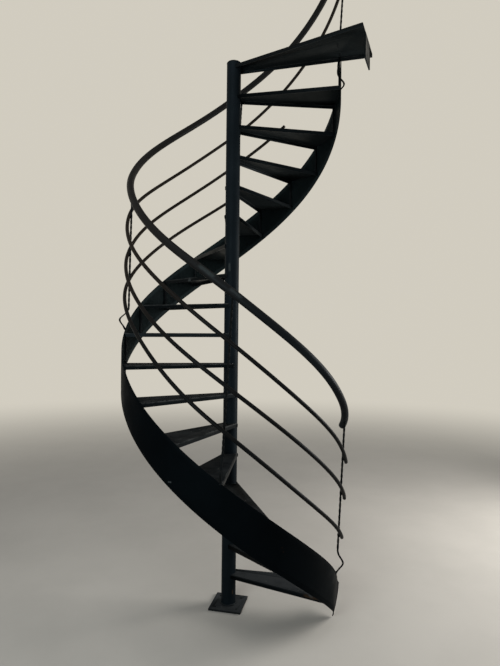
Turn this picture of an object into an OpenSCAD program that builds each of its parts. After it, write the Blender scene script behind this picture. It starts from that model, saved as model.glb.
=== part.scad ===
// Spiral staircase of painted steel: a centre tube, folded wedge treads, a helical
// flat-bar stringer outside them and a railing of four bent rails on twisted bars.
// Z is up. The origin is on the floor, on the tube's axis. Angles run clockwise
// from +X seen from above, which is the way the stair climbs.

/* [Rise and turn] */
// height of one step, mm
riser_height = 185.5; // [140:1:230]
// steps from the lower floor to the upper floor
riser_count = 18; // [12:1:24]
// turn from one tread to the next, degrees
step_angle = 21.44; // [17:0.1:26]
// how much higher the first step is than the others, mm
first_step_extra = 15; // [0:1:40]

/* [Centre tube and foot] */
// outside diameter of the centre tube, mm
pole_diameter = 88.9; // [70:0.1:120]
// wall of the centre tube, mm
pole_wall = 5; // [3:0.5:10]
// how far the tube stands above the upper floor, mm
pole_above_floor = 20; // [0:1:200]
// side of the square foot plate, mm
base_side = 200; // [160:1:260]
// thickness of the foot plate, mm
base_thickness = 12; // [6:1:20]
// turn of the foot plate about the tube, degrees
base_turn = 11; // [0:0.5:45]
// distance of each anchor hole from both edges of the plate, mm
base_hole_inset = 34; // [20:1:36]
// diameter of the anchor holes, mm
base_hole_diameter = 13; // [8:0.5:20]

/* [Treads] */
// distance of the tread's front edge from the tube's axis, mm
front_edge_offset = 48; // [30:1:60]
// distance of the tread's back edge from the tube's axis, mm
back_edge_offset = 32; // [20:1:60]
// how far each tread reaches over the front of the next one, degrees
tread_lap_angle = 2.16; // [0.8:0.01:12]
// thickness of the folded sheet, mm
tread_sheet = 4; // [2:0.5:8]
// depth of the folded edges, mm
tread_flange = 24; // [10:1:40]
// side of the square upright that carries the next tread's outer corner, mm
upright_side = 10; // [6:1:16]
// how much every tread is out of level towards +X, mm per m
out_of_level_x = 7; // [0:0.1:30]
// how much every tread is out of level towards +Y, mm per m
out_of_level_y = 11.8; // [0:0.1:30]

/* [Stringer] */
// outside radius of the helical flat bar, mm
stringer_radius = 664; // [550:1:850]
// thickness of the flat bar, mm
stringer_thickness = 6; // [4:0.5:12]
// width of the flat bar, mm
stringer_width = 197; // [150:1:260]
// height of the stringer's top edge on the +X side, mm
stringer_start_height = 162; // [120:1:200]
// turn over which the twisted lower end runs into the helix, degrees
twisted_end_angle = 24; // [15:1:32]
// how far the top corner of the lower end stands outside the helix, mm
end_corner_out = 27; // [0:1:40]
// how far the bottom corner of the lower end stands inside the helix, mm
end_corner_in = 21; // [0:1:40]

/* [Railing] */
// diameter of the handrail tube, mm
handrail_diameter = 42.4; // [30:0.1:60]
// diameter of the three lower rails, mm
mid_rail_diameter = 21.3; // [12:0.1:34]
// side of the square bars, mm
baluster_side = 10; // [8:0.5:20]
// distance of the bars' centre line from the stringer's outer face, mm
baluster_inset = 9; // [0:1:30]
// lean of the whole railing towards +X, degrees
railing_lean = 3.1; // [0:0.1:6]
// lean of the third bar back down the stair, degrees
third_bar_lean = 5.7; // [0:0.1:8]
// how far each bar stands outside the railing's circle near its foot, mm
bar_out_low = [10, -5, -9, -3, 0]; // [-20:1:20]
// how far each bar stands outside the railing's circle near its top, mm
bar_out_high = [3, 6, 6, -3, 0]; // [-20:1:20]
// length of bar that makes a quarter turn of twist, mm
twist_quarter = 34; // [20:1:80]
// how far the foot of each bar bows out past the stringer, mm
foot_bow = 36; // [10:1:60]
// how far the handrail's lower end curls in, mm
handrail_curl = 30; // [0:1:60]

/* [Rail heights over the stringer's top edge, at each bar] */
// handrail, mm
handrail_heights = [895, 938, 971, 1048, 1072]; // [800:1:1200]
// upper rail, mm
upper_rail_heights = [657, 698, 736, 747, 825]; // [550:1:900]
// middle rail, mm
middle_rail_heights = [458, 478, 489, 506, 494]; // [380:1:600]
// lowest rail, mm
lower_rail_heights = [213, 256, 290, 251, 281]; // [170:1:350]

/* [Hand bending of the rails, between each bar and the next] */
// outward bow of the handrail, mm
handrail_bow = [15, -9, 15, 0]; // [-60:1:60]
// upward bow of the handrail, mm
handrail_hump = [5, -21, 3, 0]; // [-60:1:60]
// outward bow of the upper rail, mm
upper_rail_bow = [14, 10, 1, -5]; // [-60:1:60]
// upward bow of the upper rail, mm
upper_rail_hump = [-12, 4, -19, 4]; // [-60:1:60]
// outward bow of the middle rail, mm
middle_rail_bow = [-8, -13, 18, 7]; // [-60:1:60]
// upward bow of the middle rail, mm
middle_rail_hump = [-1, -12, -4, -4]; // [-60:1:60]
// outward bow of the lowest rail, mm
lower_rail_bow = [-15, -30, -16, 0]; // [-60:1:60]
// upward bow of the lowest rail, mm
lower_rail_hump = [-11, 0, 8, 0]; // [-60:1:60]

/* [Landing] */
// how far the landing runs out past the stringer, mm
landing_overhang = 166; // [60:1:400]
// side of the landing's wall plate, mm
wall_plate_side = 140; // [110:1:200]
// diameter of the wall plate's bolt holes, mm
wall_hole_diameter = 13; // [8:0.5:18]
// distance between the wall plate's bolt holes, mm
wall_hole_spacing = 80; // [60:1:110]

/* [Hidden] */
$fn = 96;
steel = [0.13, 0.14, 0.15];
pole_radius = pole_diameter / 2;
floor_height = riser_height * riser_count + first_step_extra;
landing_reach = stringer_radius + landing_overhang;
// turn between the outer corners of one tread
tread_width_angle = step_angle + tread_lap_angle;
baluster_radius = stringer_radius - baluster_inset;
// rise of the stringer per degree of turn
helix_rise = riser_height / step_angle;
stringer_slope = atan(helix_rise * 180 / (PI * stringer_radius));
stringer_drop = stringer_width / cos(stringer_slope);
stringer_inside = stringer_radius - stringer_thickness;
// fall of the bar's square-cut end per degree of turn
cut_fall = stringer_radius * PI / 180 / tan(stringer_slope);
// the end of the flat bar is cut square, so its two corners are at different turns
end_top_angle = -3.2;
end_low_angle = end_top_angle + edge_height(end_top_angle) / cut_fall + 5;
stringer_end_angle = level_nosing_angle(riser_count) - 0.035;
tread_end_radius = stringer_inside * cos(1.5);
// how much shorter the first tread is, beside the stringer's twisted end
first_tread_short = 2.2;
// gap from the tread's end to an upright, and its turn past the next tread's front corner
upright_inset = 1.5;
upright_past_corner = 0.8;
wall_plate_thickness = 8;
// how far the wall plate stands past the end of the landing's sheet
wall_plate_proud = 1;
corner_radius = baluster_side / sqrt(2);
mid_rail_radius = baluster_radius + corner_radius + mid_rail_diameter / 2 - 0.3;
handrail_radius = baluster_radius + 13;
// turns at which the bars stand on the stringer, and at which the rails pass them
foot_angles = [15.5, 90, 178.5, 267, 354];
rail_stations = [15.5, 90, 175, 267, 354];
low_knots = [for (i = [0 : 4]) [rail_stations[i], bar_out_low[i]]];
high_knots = [for (i = [0 : 4]) [rail_stations[i], bar_out_high[i]]];
low_knot_height = 100;
high_knot_height = 900;
// turn over which the handrail's lower end curls in
curl_angle = 19.5;
handrail_start = 10;

function tread_height(n) = n * riser_height + first_step_extra;
function out_of_level(a, r) = r * (out_of_level_x * cos(a) - out_of_level_y * sin(a)) / 1000;
function level_nosing_angle(n) = (tread_height(n) - stringer_start_height) / helix_rise;
// turn at which the tread's front corner meets the stringer's top edge
function nosing_angle(n) = level_nosing_angle(n)
  + out_of_level(level_nosing_angle(n), stringer_radius) / helix_rise;
function edge_height(a) = stringer_start_height + helix_rise * a;
function outward(a) = [cos(a), -sin(a), 0];
function along(a) = [-sin(a), -cos(a), 0];
function lean(h) = [tan(railing_lean) * h, 0, 0];
function low_height(a) = max(edge_height(a) - stringer_drop, 0);
// share of a span at turn a, from 0 at one bar to 1 at the next
function span_share(a, i) =
  (a - rail_stations[i]) / (rail_stations[i + 1] - rail_stations[i]);
function bend(a, i) =
  span_share(a, i) > 0 && span_share(a, i) < 1 ? pow(sin(180 * span_share(a, i)), 2) : 0;
function bends(a, sizes) =
  sizes[0] * bend(a, 0) + sizes[1] * bend(a, 1) + sizes[2] * bend(a, 2) + sizes[3] * bend(a, 3);
function rail_height(a, heights, hump) =
  lookup(a, [for (i = [0 : 4]) [rail_stations[i], heights[i]]]) + bends(a, hump);
// how far the railing's circle is pushed out at turn a and height h over the stringer
function pushed_out(a, h) =
  let (t = (h - low_knot_height) / (high_knot_height - low_knot_height))
  lookup(a, low_knots) * (1 - t) + lookup(a, high_knots) * t;
function curled_in(a) =
  a < handrail_start + curl_angle
    ? handrail_curl * pow((handrail_start + curl_angle - a) / curl_angle, 2.3)
    : 0;

// closed solid through a list of rings that all have the same number of points
module sweep(rings) {
  m = len(rings[0]);
  n = len(rings);
  sides = [
    for (i = [0 : n - 2]) for (j = [0 : m - 1]) for (half = [0, 1])
      half == 0
        ? [i * m + j, (i + 1) * m + j, (i + 1) * m + (j + 1) % m]
        : [i * m + j, (i + 1) * m + (j + 1) % m, i * m + (j + 1) % m]
  ];
  first = [[for (j = [0 : m - 1]) j]];
  last = [[for (j = [m - 1 : -1 : 0]) (n - 1) * m + j]];
  polyhedron(points = [for (r = rings) for (p = r) p], faces = concat(first, sides, last));
}

// point on a rail's centre line at turn a
function rail_point(a, radius, heights, bow, hump, curl) =
  let (h = rail_height(a, heights, hump))
  outward(a) * (radius + pushed_out(a, h) + bends(a, bow) - curl * curled_in(a))
    + [0, 0, edge_height(a) + h] + lean(h);
function unit(v) = v / norm(v);

// round bar bent round the stair, its ends rounded by two smaller rings
module rail(radius, tube, heights, bow, hump, curl, first, last, sides, step) {
  count = ceil((last - first) / step);
  turn = (last - first) / count;
  slope = atan(helix_rise * 180 / (PI * radius));
  round_turn = tube * cos(slope) * 180 / (PI * radius);
  stations = concat(
    [[first - round_turn * 0.5, 0.35], [first - round_turn * 0.35, 0.8]],
    [for (i = [0 : count]) [first + i * turn, 1]],
    [[last + round_turn * 0.35, 0.8], [last + round_turn * 0.5, 0.35]]
  );
  rings = [
    for (s = stations)
      let (
        a = s[0],
        centre = rail_point(a, radius, heights, bow, hump, curl),
        ahead = rail_point(a + 1, radius, heights, bow, hump, curl),
        behind = rail_point(a - 1, radius, heights, bow, hump, curl),
        way = unit(ahead - behind),
        side = unit(cross([0, 0, 1], way)),
        up = cross(way, side)
      )
      [for (j = [0 : sides - 1])
        let (f = 360 * j / sides)
        centre + (side * cos(f) + up * sin(f)) * tube * s[1]]
  ];
  sweep(rings);
}

module base_plate() {
  color(steel)
  rotate([0, 0, -base_turn])
  difference() {
    translate([-base_side / 2, -base_side / 2, 0])
      cube([base_side, base_side, base_thickness]);
    for (x = [-1, 1], y = [-1, 1])
      translate([x, y, 0] * (base_side / 2 - base_hole_inset) + [0, 0, -1])
        cylinder(h = base_thickness + 2, d = base_hole_diameter);
  }
}

module centre_pole() {
  color(steel)
  difference() {
    translate([0, 0, base_thickness])
      cylinder(h = floor_height + pole_above_floor - base_thickness, r = pole_radius);
    translate([0, 0, base_thickness - 1])
      cylinder(h = floor_height + pole_above_floor + 2, r = pole_radius - pole_wall);
  }
}

module pole_cap() {
  color(steel)
  translate([0, 0, floor_height + pole_above_floor])
    cylinder(h = 4, r = pole_radius);
}

// wedge between two straight edges, moved in by the given amount and tipped out of level
module wedge(inset, reach, low, high, turn, tip) {
  first = asin(front_edge_offset / stringer_radius);
  second = tread_width_angle - asin(back_edge_offset / stringer_radius);
  front = front_edge_offset - inset;
  back = back_edge_offset - inset;
  rotate([tip * atan(out_of_level_y / 1000), -tip * atan(out_of_level_x / 1000), 0])
  rotate([0, 0, -turn])
  translate([0, 0, low])
  linear_extrude(height = high - low)
  polygon([
    [sin(first), cos(first)] * front,
    [sin(first), cos(first)] * front + [cos(first), -sin(first)] * reach,
    [-sin(second), -cos(second)] * back + [cos(second), -sin(second)] * reach,
    [-sin(second), -cos(second)] * back
  ]);
}

// tread with folded front and back edges, cut round the centre tube
module folded_tread(n, reach, turn, tip) {
  translate([0, 0, tread_height(n)])
  difference() {
    wedge(0, reach, -tread_flange, 0, turn, tip);
    translate([0, 0, -tread_flange * 2])
      cylinder(h = tread_flange * 4, r = pole_radius);
    wedge(tread_sheet, reach + 50, -tread_flange - 10, -tread_sheet, turn, tip);
  }
}

module tread(n) {
  color(steel)
  union() {
    intersection() {
      folded_tread(n, stringer_radius * 1.2, nosing_angle(n), 1);
      translate([0, 0, tread_height(n) - tread_flange * 3])
        cylinder(h = tread_flange * 6, r = tread_end_radius - (n == 1 ? first_tread_short : 0));
    }
    upright(n);
  }
}

// short bar against the stringer, from the back corner of one tread to the next one's underside
module upright(n) {
  reach = tread_end_radius - upright_side / 2 - upright_inset;
  turn = (n == riser_count - 1 ? level_nosing_angle(n + 1) : nosing_angle(n + 1))
    + upright_past_corner;
  foot = tread_height(n) + out_of_level(turn, reach) - tread_sheet / 2;
  top = tread_height(n + 1) - tread_sheet
    + (n == riser_count - 1 ? 0 : out_of_level(turn, reach));
  rotate([0, 0, -turn])
    translate([reach - upright_side / 2, -upright_side / 2, foot])
      cube([upright_side, upright_side, top - foot]);
}

// level landing, flush with the upper floor, with a drilled plate against the floor's rim
module landing_plate() {
  turn = level_nosing_angle(riser_count);
  middle = turn + tread_width_angle / 2;
  plate_height = floor_height - wall_plate_side / 2 - tread_sheet;
  plate_face = landing_reach - wall_plate_thickness;
  color(steel)
  difference() {
    union() {
      difference() {
        folded_tread(riser_count, landing_reach * 1.3, turn, 0);
        rotate([0, 0, -middle])
          translate([landing_reach - wall_plate_proud, -landing_reach, floor_height - 100])
            cube([landing_reach, landing_reach * 2, 200]);
      }
      rotate([0, 0, -middle])
        translate([plate_face, -wall_plate_side / 2, plate_height - wall_plate_side / 2])
          cube([wall_plate_thickness, wall_plate_side, wall_plate_side]);
      // the plate's weld to the sheet, wholly inside both, so they are one solid at any size
      rotate([0, 0, -middle])
        translate([plate_face, -wall_plate_side / 2, floor_height - tread_sheet * 1.5])
          cube([wall_plate_thickness - wall_plate_proud, wall_plate_side, tread_sheet]);
    }
    for (y = [-0.5, 0.5], z = [-0.5, 0.5])
      rotate([0, 0, -middle])
        translate([landing_reach - 20, y * wall_hole_spacing, plate_height + z * wall_hole_spacing])
          rotate([0, 90, 0])
            cylinder(h = 40, d = wall_hole_diameter);
  }
}

// ring of the stringer: top and low corner at their own turn, moved out by their own amount
function stringer_ring(a_top, a_low, out_top, out_low) =
  let (
    a_mid = (a_top + a_low) / 2,
    out_mid = (out_top + out_low) / 2,
    low = low_height(a_low),
    top = edge_height(a_top),
    t = stringer_thickness
  )
  [
    outward(a_low) * (stringer_inside + out_low) + [0, 0, low],
    outward(a_low) * (stringer_inside + out_low + t) + [0, 0, low],
    outward(a_mid) * (stringer_inside + out_mid + t) + [0, 0, (low + top) / 2],
    outward(a_top) * (stringer_inside + out_top + t) + [0, 0, top],
    outward(a_top) * (stringer_inside + out_top) + [0, 0, top],
    outward(a_mid) * (stringer_inside + out_mid) + [0, 0, (low + top) / 2]
  ];

module stringer() {
  end_steps = 10;
  joined = end_top_angle + twisted_end_angle;
  count = ceil((stringer_end_angle - joined) / 3);
  turn = (stringer_end_angle - joined) / count;
  color(steel)
  sweep(concat(
    [for (i = [0 : end_steps - 1])
      let (t = i / end_steps)
      stringer_ring(
        end_top_angle + (joined - end_top_angle) * t,
        end_low_angle + (joined - end_low_angle) * t,
        end_corner_out * pow(1 - t, 5), -end_corner_in * (1 - t))],
    [for (i = [0 : count])
      stringer_ring(joined + i * turn, joined + i * turn, 0, 0)]
  ));
}

module handrail() {
  color(steel)
  rail(handrail_radius, handrail_diameter / 2, handrail_heights, handrail_bow,
    handrail_hump, 1, handrail_start, 362, 12, 5);
}

module mid_rail_upper() {
  color(steel)
  rail(mid_rail_radius, mid_rail_diameter / 2, upper_rail_heights, upper_rail_bow,
    upper_rail_hump, 0, 13, 362, 8, 6);
}

module mid_rail_middle() {
  color(steel)
  rail(mid_rail_radius, mid_rail_diameter / 2, middle_rail_heights, middle_rail_bow,
    middle_rail_hump, 0, 10.5, 297.5, 8, 6);
}

module mid_rail_lower() {
  color(steel)
  rail(mid_rail_radius, mid_rail_diameter / 2, lower_rail_heights, lower_rail_bow,
    lower_rail_hump, 0, 13.5, 268.5, 8, 6);
}

// the third bar leans back down the stair, so it meets each rail at a smaller turn
function shifted_back(i, h) = i == 2 ? h * tan(third_bar_lean) : 0;
function bar_turn(i, h) =
  foot_angles[i] - shifted_back(i, h) * 180 / (PI * baluster_radius);
// height over the stringer at which a bar meets a rail, closed in on step by step
function meet(i, heights, hump, h, tries) =
  tries == 0 ? h
    : meet(i, heights, hump, rail_height(bar_turn(i, h), heights, hump)
        - helix_rise * (foot_angles[i] - bar_turn(i, h)), tries - 1);
// distance of a bar from the tube's axis, before its shift back
function bar_reach(i, h) =
  sqrt(pow(baluster_radius + pushed_out(bar_turn(i, h), h), 2) - pow(shifted_back(i, h), 2));

// one square bar: bowed foot on the stringer's edge, twisted shank, saddle under the handrail
module baluster(i) {
  b = foot_angles[i];
  low = meet(i, lower_rail_heights, lower_rail_hump, lower_rail_heights[i], 4);
  mid = meet(i, middle_rail_heights, middle_rail_hump, middle_rail_heights[i], 4);
  high = meet(i, upper_rail_heights, upper_rail_hump, upper_rail_heights[i], 4);
  top = meet(i, handrail_heights, handrail_hump, handrail_heights[i], 4);
  top_turn = bar_turn(i, top);
  handrail_reach = handrail_radius + pushed_out(top_turn, top)
    + bends(top_turn, handrail_bow) - curled_in(top_turn);
  top_reach = baluster_radius + pushed_out(top_turn, top);
  edge_slope = helix_rise * 180 / (PI * stringer_radius);
  // slope of the handrail where the bar meets it, and the bar's small shift below its axis
  gain = (rail_height(top_turn + 2, handrail_heights, handrail_hump)
    - rail_height(top_turn - 2, handrail_heights, handrail_hump)) / 4;
  rail_slope = atan((helix_rise + gain) * 180 / (PI * handrail_reach));
  shift = tan(railing_lean) * handrail_diameter / 2;
  twist_start = 128;
  twist_end = top - 50;
  q0 = 2 * round((low - twist_start - twist_quarter / 2) / twist_quarter / 2);
  q1 = q0 + round((mid - low) / twist_quarter);
  q2 = q1 + round((high - mid) / twist_quarter);
  q3 = q2 + round((twist_end - high - twist_quarter / 2) / twist_quarter);
  knots = [
    [twist_start, 0],
    [low, 45 + 90 * q0],
    [mid, 45 + 90 * q1],
    [high, 45 + 90 * q2],
    [twist_end, 90 + 90 * q3]
  ];
  foot_radius = stringer_radius + 2;
  tip = stringer_radius + foot_bow;
  rising = [[0, 0], [18, 0.32], [42, 0.86], [56, 1]];
  falling = [[70, 0.88], [98, 0.3], [118, 0.05]];
  steps = ceil((twist_end - twist_start) / (twist_quarter / 4));
  stations = concat(
    [for (f = rising) [f[0], foot_radius + (tip - foot_radius) * f[1], 0]],
    [for (f = falling) [f[0], bar_reach(i, f[0]) + (tip - bar_reach(i, f[0])) * f[1], 0]],
    [for (k = [0 : steps])
      let (h = twist_start + (twist_end - twist_start) * k / steps)
      [h, bar_reach(i, h), lookup(h, knots) + b - bar_turn(i, h)]]
  );
  corners = [[-1, -1], [1, -1], [1, 1], [-1, 1]] * (baluster_side / 2);
  body = [
    for (k = [0 : len(stations) - 1])
      let (s = stations[k], h = s[0], q = s[2])
      [for (c = corners)
        let (
          x = c[0] * cos(q) - c[1] * sin(q),
          y = c[0] * sin(q) + c[1] * cos(q),
          slant = k == 0 ? -y * edge_slope : 0
        )
        outward(b) * (s[1] + x) - along(b) * (y + shifted_back(i, h))
          + [0, 0, edge_height(b) + h + slant] + lean(h)]
  ];
  // the shank ends turned by whole quarters, so the saddle takes its corners up in that order
  saddle = [
    for (k = [0 : 3])
      let (
        c = corners[(k + q3 + 1) % 4],
        across = top_reach + c[0] - handrail_reach - shift * cos(top_turn),
        back = c[1] - shift * sin(top_turn),
        deep = sqrt(pow(handrail_diameter / 2 * 0.985, 2) - pow(across, 2)) / cos(rail_slope)
      )
      outward(top_turn) * (top_reach + c[0]) - along(top_turn) * c[1]
        + [0, 0, edge_height(b) + top - deep - back * tan(rail_slope)] + lean(top) - [shift, 0, 0]
  ];
  color(steel)
  sweep(concat(body, [saddle]));
}

base_plate();
centre_pole();
pole_cap();
tread(1);  // tread_01
tread(2);  // tread_02
tread(3);  // tread_03
tread(4);  // tread_04
tread(5);  // tread_05
tread(6);  // tread_06
tread(7);  // tread_07
tread(8);  // tread_08
tread(9);  // tread_09
tread(10);  // tread_10
tread(11);  // tread_11
tread(12);  // tread_12
tread(13);  // tread_13
tread(14);  // tread_14
tread(15);  // tread_15
tread(16);  // tread_16
tread(17);  // tread_17
landing_plate();
stringer();
handrail();
mid_rail_upper();
mid_rail_middle();
mid_rail_lower();
baluster(0);  // baluster_1
baluster(1);  // baluster_2
baluster(2);  // baluster_3
baluster(3);  // baluster_4
baluster(4);  // baluster_5
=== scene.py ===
"""Looks of the spiral staircase: brushed-on black paint, welds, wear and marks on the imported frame."""

import math

import bmesh
import bpy
from mathutils import Matrix, Vector, noise


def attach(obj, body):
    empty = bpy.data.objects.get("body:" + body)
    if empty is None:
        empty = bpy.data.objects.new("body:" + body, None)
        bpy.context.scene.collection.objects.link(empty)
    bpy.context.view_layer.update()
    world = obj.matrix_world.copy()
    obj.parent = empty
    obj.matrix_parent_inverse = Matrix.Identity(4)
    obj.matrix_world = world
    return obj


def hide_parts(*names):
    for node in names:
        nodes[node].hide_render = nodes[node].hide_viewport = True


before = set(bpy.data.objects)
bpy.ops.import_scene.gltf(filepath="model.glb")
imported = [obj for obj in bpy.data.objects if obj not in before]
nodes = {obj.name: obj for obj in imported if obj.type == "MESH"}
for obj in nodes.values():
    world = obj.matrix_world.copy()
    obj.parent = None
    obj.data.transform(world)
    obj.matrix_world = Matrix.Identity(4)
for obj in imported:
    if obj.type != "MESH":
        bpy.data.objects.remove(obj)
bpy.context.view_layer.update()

# Driving sizes of the stair, in metres and degrees, the same as in the part's source
RISER = 0.1855
RISERS = 18
STEP_ANGLE = 21.44
FIRST_EXTRA = 0.015
START_HEIGHT = 0.162
RISE = RISER / STEP_ANGLE
FLOOR_HEIGHT = RISER * RISERS + FIRST_EXTRA

# Centre tube on its foot plate
POLE_RADIUS = 0.04445
POLE_WALL = 0.005
PLATE_TOP = 0.012
POLE_ABOVE_FLOOR = 0.020
POLE_TOP = FLOOR_HEIGHT + POLE_ABOVE_FLOOR
POLE_SIDES = 96
POLE_LEVELS = 40

# Treads
FRONT_OFFSET = 0.048
TREAD_SHEET = 0.004
TREAD_WIDTH_ANGLE = 23.6
LEVEL_X = 0.007
LEVEL_Y = 0.0118
UPRIGHT_PAST_CORNER = 0.8
UPRIGHT_INSET = 0.0065

# Stringer and its twisted lower end, whose low corner lags behind a square cut
STRINGER_RADIUS = 0.664
STRINGER_THICKNESS = 0.006
STRINGER_WIDTH = 0.197
STRINGER_INSIDE = STRINGER_RADIUS - STRINGER_THICKNESS
STRINGER_SLOPE = math.atan(math.degrees(RISE) / STRINGER_RADIUS)
STRINGER_DROP = STRINGER_WIDTH / math.cos(STRINGER_SLOPE)
STRINGER_CORNER = 0.0014
STRINGER_ROWS = 8
STRINGER_STEPS = 260
CUT_FALL = math.radians(STRINGER_RADIUS) / math.tan(STRINGER_SLOPE)
END_TOP = -3.2
END_LOW_LAG = 5
END_OUT = 0.027
END_IN = 0.021
END_STEPS = 24
TWISTED_END = 24
SHORT_OF_LANDING = 0.035
FACET_HALF_ANGLE = 1.5
TREAD_END = STRINGER_INSIDE * math.cos(math.radians(FACET_HALF_ANGLE))
HAMMERED_DEPTH = 0.0008

# Railing
BAR_FEET = (15.5, 90, 178.5, 267, 354)
STATIONS = (15.5, 90, 175, 267, 354)
OUT_LOW = (0.010, -0.005, -0.009, -0.003, 0)
OUT_HIGH = (0.003, 0.006, 0.006, -0.003, 0)
LOW_KNOT = 0.1
HIGH_KNOT = 0.9
BAR_SIDE = 0.010
BAR_CORNER = 0.0013
BAR_RADIUS = STRINGER_RADIUS - 0.009
RAILING_LEAN = 3.1
THIRD_BAR = 2
THIRD_BAR_LEAN = 5.7
HANDRAIL_DIAMETER = 0.0424
HANDRAIL_RADIUS = BAR_RADIUS + 0.013
HANDRAIL_START = 10
HANDRAIL_CURL = 0.030
CURL_ANGLE = 19.5
CURL_POWER = 2.3
MID_RAIL_DIAMETER = 0.0213
MID_RAIL_SUNK = 0.0003
MID_RAIL_RADIUS = BAR_RADIUS + BAR_SIDE / math.sqrt(2) + MID_RAIL_DIAMETER / 2 - MID_RAIL_SUNK
RAILS_END = 362
RAIL_STEP = 1.5
HANDRAIL_SIDES = 32
MID_RAIL_SIDES = 20

# Bars: the bowed foot, the twisted shank and the saddle under the handrail
FOOT_BOW = 0.036
FOOT_STANDS_OUT = 0.002
FOOT_LEVELLING = 0.02
FOOT_TIP = 0.056
FOOT_TOP = 0.128
FOOT_STEPS = 34
TWIST_QUARTER = 0.034
TWIST_STEP = 0.003
SADDLE_LENGTH = 0.050
SADDLE_SINK = 0.98
SADDLE_WELD_SINK = 1.02

# Share of the bow at heights along a bar's foot
FOOT_CURVE = (
    (0, 0),
    (0.018, 0.32),
    (0.042, 0.86),
    (FOOT_TIP, 1),
    (0.070, 0.88),
    (0.098, 0.30),
    (0.118, 0.05),
    (FOOT_TOP, 0),
)

# Rings of a rail's end: how far out along the tube and how wide, both in radii of the tube
DOMED_END = ((0.5, 0.30), (0.46, 0.62), (0.36, 0.86), (0.2, 0.97))
PLUGGED_END = (
    (0.5, 0.30),
    (0.49, 0.86),
    (0.45, 0.95),
    (0.38, 1.0),
    (0.30, 1.0),
    (0.27, 0.955),
    (0.24, 1.0),
)


# Shape of the stair
def direction(angle):
    """Level unit vector away from the tube at a clockwise turn in degrees."""
    a = math.radians(angle)
    return Vector((math.cos(a), -math.sin(a), 0))


def tangent(angle):
    """Level unit vector along the stair at a clockwise turn in degrees."""
    return direction(angle + 90)


def upward(height):
    return Vector((0, 0, height))


def edge_height(angle):
    """Height of the stringer's top edge."""
    return START_HEIGHT + RISE * angle


def low_height(angle):
    """Height of the stringer's lower edge, which the floor cuts off at the start."""
    return max(edge_height(angle) - STRINGER_DROP, 0)


def tread_height(n):
    return n * RISER + FIRST_EXTRA


def out_of_level(angle, reach):
    a = math.radians(angle)
    return reach * (LEVEL_X * math.cos(a) - LEVEL_Y * math.sin(a))


def level_nosing(n):
    return (tread_height(n) - START_HEIGHT) / RISE


def nosing(n):
    """Turn of a tread's front corner; the landing is level."""
    level = level_nosing(n)
    if n == RISERS:
        return level
    return level + out_of_level(level, STRINGER_RADIUS) / RISE


def tread_surface(n, angle, reach):
    """Height of a tread's top face."""
    if n == RISERS:
        return tread_height(n)
    return tread_height(n) + out_of_level(angle, reach)


def lean(height):
    return Vector((math.tan(math.radians(RAILING_LEAN)) * height, 0, 0))


def lookup(x, knots):
    """Straight-line reading between knots, level beyond both ends."""
    if x <= knots[0][0]:
        return knots[0][1]
    for (x0, y0), (x1, y1) in zip(knots, knots[1:]):
        if x <= x1:
            return y0 + (y1 - y0) * (x - x0) / (x1 - x0)
    return knots[-1][1]


def curve_lookup(x, knots):
    """Reading between knots on one smooth curve through all of them."""
    xs = [knot[0] for knot in knots]
    ys = [knot[1] for knot in knots]
    i = max(0, min(len(knots) - 2, sum(x >= value for value in xs) - 1))
    before = max(i - 1, 0)
    after = min(i + 2, len(knots) - 1)
    width = xs[i + 1] - xs[i]
    t = min(max((x - xs[i]) / width, 0), 1)
    slope_in = (ys[i + 1] - ys[before]) / (xs[i + 1] - xs[before]) * width
    slope_out = (ys[after] - ys[i]) / (xs[after] - xs[i]) * width
    return (
        ys[i] * (2 * t**3 - 3 * t**2 + 1)
        + slope_in * (t**3 - 2 * t**2 + t)
        + ys[i + 1] * (3 * t**2 - 2 * t**3)
        + slope_out * (t**3 - t**2)
    )


def eased(reading, angle):
    """Average over a few degrees, which rounds the kink that a straight-line reading has at a bar."""
    steps = (-4, -2, 0, 2, 4)
    return sum(reading(angle + step) for step in steps) / len(steps)


def pushed_out(angle, height):
    """How far the railing stands outside its circle."""
    t = (height - LOW_KNOT) / (HIGH_KNOT - LOW_KNOT)
    low = lookup(angle, list(zip(STATIONS, OUT_LOW)))
    high = lookup(angle, list(zip(STATIONS, OUT_HIGH)))
    return low * (1 - t) + high * t


class Rail:
    """Centre line of one bent rail over the stringer's top edge."""

    def __init__(self, node, diameter, radius, heights, bow, hump, span, curl=0.0):
        self.node = node
        self.tube = diameter / 2
        self.radius = radius
        self.heights = list(zip(STATIONS, heights))
        self.bow = bow
        self.hump = hump
        self.first, self.last = span
        self.curl = curl

    def bends(self, angle, sizes):
        """Sum of the hand-made bends, one between each bar and the next."""
        total = 0.0
        for i, size in enumerate(sizes):
            share = (angle - STATIONS[i]) / (STATIONS[i + 1] - STATIONS[i])
            if 0 < share < 1:
                total += size * math.sin(math.pi * share) ** 2
        return total

    def height(self, angle):
        return eased(lambda a: lookup(a, self.heights) + self.bends(a, self.hump), angle)

    def curled_in(self, angle):
        """How far the lower end of the handrail turns in towards the tube."""
        left = HANDRAIL_START + CURL_ANGLE - angle
        return self.curl * (left / CURL_ANGLE) ** CURL_POWER if left > 0 else 0

    def reach(self, angle):
        height = self.height(angle)
        out = eased(lambda a: pushed_out(a, height), angle)
        return self.radius + out + self.bends(angle, self.bow) - self.curled_in(angle)

    def point(self, angle):
        height = self.height(angle)
        return direction(angle) * self.reach(angle) + upward(edge_height(angle) + height) + lean(height)

    def way(self, angle):
        return (self.point(angle + 1) - self.point(angle - 1)).normalized()


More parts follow.
